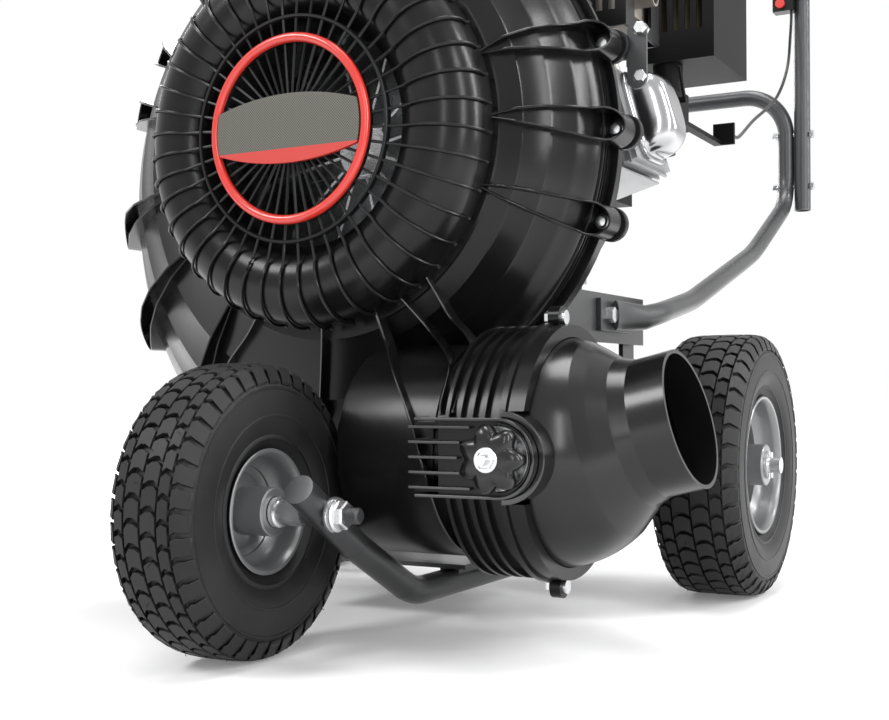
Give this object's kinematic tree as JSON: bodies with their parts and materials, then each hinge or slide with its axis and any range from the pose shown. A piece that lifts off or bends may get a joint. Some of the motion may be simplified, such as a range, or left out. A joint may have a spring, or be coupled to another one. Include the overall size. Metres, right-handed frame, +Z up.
{
  "type": "walk-behind leaf blower",
  "caption": "Wheeled engine-driven leaf blower: spiral fan housing with ringed front intake, side discharge with ball nozzle, rear engine and a tall push handle.",
  "frame": {"origin": "on the ground below the middle of the bounding box", "axes": "X to the discharge side, Y back to the handle, Z up"},
  "size_m": [0.7982, 1.584, 1.089],
  "materials": {
    "moulded_black": "semi-gloss moulded plastic",
    "nozzle_black": "gloss black moulded plastic",
    "guard_black": "satin black coated wire",
    "accent_red": "gloss red",
    "badge_mesh": "fine mesh texture",
    "tyre_rubber": "matt rubber",
    "mount_rubber": "matt rubber",
    "grip_rubber": "matt foam rubber",
    "rim_grey": "satin grey paint",
    "frame_grey": "dark silver powder coat",
    "zinc_steel": "bright zinc plate",
    "cast_alloy": "bead-blasted casting",
    "polished_steel": "polished",
    "heat_steel": "heat-stained sheet",
    "filter_foam": "open cell foam",
    "plug_ceramic": "glazed"
  },
  "bodies": {
    "chassis": {"front_shell": "moulded_black", "rear_shell": "moulded_black", "intake_bell": "moulded_black", "intake_guard": "guard_black", "guard_hoops": "guard_black", "guard_ring": "accent_red", "badge_plate": "badge_mesh", "shell_bolts": "zinc_steel", "discharge_collar": "moulded_black", "retainer_ring": "moulded_black", "retainer_bolts": "zinc_steel", "knob_washer": "zinc_steel", "engine_adapter": "cast_alloy", "crankcase": "cast_alloy", "cylinder_head": "cast_alloy", "rocker_cover": "polished_steel", "spark_plug": "plug_ceramic", "muffler": "heat_steel", "muffler_guard": "guard_black", "carburettor": "cast_alloy", "air_filter_case": "moulded_black", "air_filter_element": "filter_foam", "fan_shroud": "moulded_black", "recoil_cover": "moulded_black", "fuel_tank": "moulded_black", "heat_plate": "polished_steel", "engine_mounts": "mount_rubber", "engine_bolts": "zinc_steel", "deck_frame": "frame_grey", "base_frame": "frame_grey", "rear_axle": "zinc_steel", "axle_pins": "zinc_steel", "front_arm": "frame_grey", "front_axle": "zinc_steel", "lower_handle": "frame_grey", "upper_handle": "frame_grey", "handle_bolts": "zinc_steel", "grip": "grip_rubber", "throttle_bracket": "moulded_black", "throttle_cable": "guard_black", "side_bracket": "zinc_steel"},
    "front_wheel": {"front_tyre": "tyre_rubber", "front_rim": "rim_grey"},
    "left_wheel": {"left_tyre": "tyre_rubber", "left_rim": "rim_grey"},
    "right_wheel": {"right_tyre": "tyre_rubber", "right_rim": "rim_grey"},
    "rotor": {"impeller": "zinc_steel", "impeller_bolt": "zinc_steel", "crankshaft": "cast_alloy", "flywheel": "cast_alloy"},
    "nozzle_body": {"nozzle": "nozzle_black", "pivot_stud": "zinc_steel"},
    "knob": {"clamp_knob": "moulded_black"},
    "starter": {"starter_handle": "moulded_black"},
    "pulley": {"recoil_pulley": "zinc_steel"},
    "choke": {"choke_lever": "moulded_black"},
    "throttle": {"throttle_lever": "accent_red"},
    "cap": {"fuel_cap": "moulded_black"},
    "dipstick": {"oil_dipstick": "accent_red"},
    "stop_button": {"stop_switch": "accent_red"}
  },
  "joints": [
    {"name": "front_wheel_spin", "type": "hinge", "parent": "chassis", "child": "front_wheel", "pos_m": [-0.01356, -0.647, 0.145], "axis": [1, 0, 0], "continuous": true},
    {"name": "left_wheel_spin", "type": "hinge", "parent": "chassis", "child": "left_wheel", "pos_m": [0.30394, -0.049, 0.165], "axis": [1, 0, 0], "continuous": true},
    {"name": "right_wheel_spin", "type": "hinge", "parent": "chassis", "child": "right_wheel", "pos_m": [-0.33106, -0.049, 0.165], "axis": [1, 0, 0], "continuous": true},
    {"name": "rotor_spin", "type": "hinge", "parent": "chassis", "child": "rotor", "pos_m": [-0.01356, -0.247, 0.536], "axis": [0, 1, 0], "continuous": true},
    {"name": "nozzle_tilt", "type": "hinge", "parent": "chassis", "child": "nozzle_body", "pos_m": [0.24144, -0.447, 0.198], "axis": [0, -1, 0], "range_deg": [-24, 12]},
    {"name": "knob_turn", "type": "hinge", "parent": "nozzle_body", "child": "knob", "pos_m": [0.24144, -0.602, 0.198], "axis": [0, -1, 0], "range_deg": [0, 350]},
    {"name": "starter_pull", "type": "slide", "parent": "chassis", "child": "starter", "axis": [0, 0, 1], "range_m": [0, 0.45], "stiffness_N_per_m": 15},
    {"name": "pulley_spin", "type": "hinge", "parent": "chassis", "child": "pulley", "pos_m": [-0.01356, 0.071, 0.536], "axis": [0, -1, 0], "range_deg": [0, 540]},
    {"name": "choke_turn", "type": "hinge", "parent": "chassis", "child": "choke", "pos_m": [0.23244, -0.001, 0.648], "axis": [1, 0, 0], "range_deg": [-60, 0]},
    {"name": "throttle_turn", "type": "hinge", "parent": "chassis", "child": "throttle", "pos_m": [0.21484, 0.623, 0.968], "axis": [1, 0, 0], "range_deg": [0, 50]},
    {"name": "cap_turn", "type": "hinge", "parent": "chassis", "child": "cap", "pos_m": [-0.05356, -0.092, 0.889], "axis": [0, 0, 1], "range_deg": [0, 90]},
    {"name": "dipstick_turn", "type": "hinge", "parent": "chassis", "child": "dipstick", "pos_m": [0.05244, -0.217, 0.44], "axis": [0, -1, 0], "range_deg": [0, 350]},
    {"name": "stop_press", "type": "slide", "parent": "chassis", "child": "stop_button", "axis": [0, 1, 0], "range_m": [0, 0.003], "stiffness_N_per_m": 300, "springref_m": -0.002}
  ],
  "couplings": [
    {"joint": "pulley_spin", "follows": "starter_pull", "rad_per_m": 20.833}
  ]
}
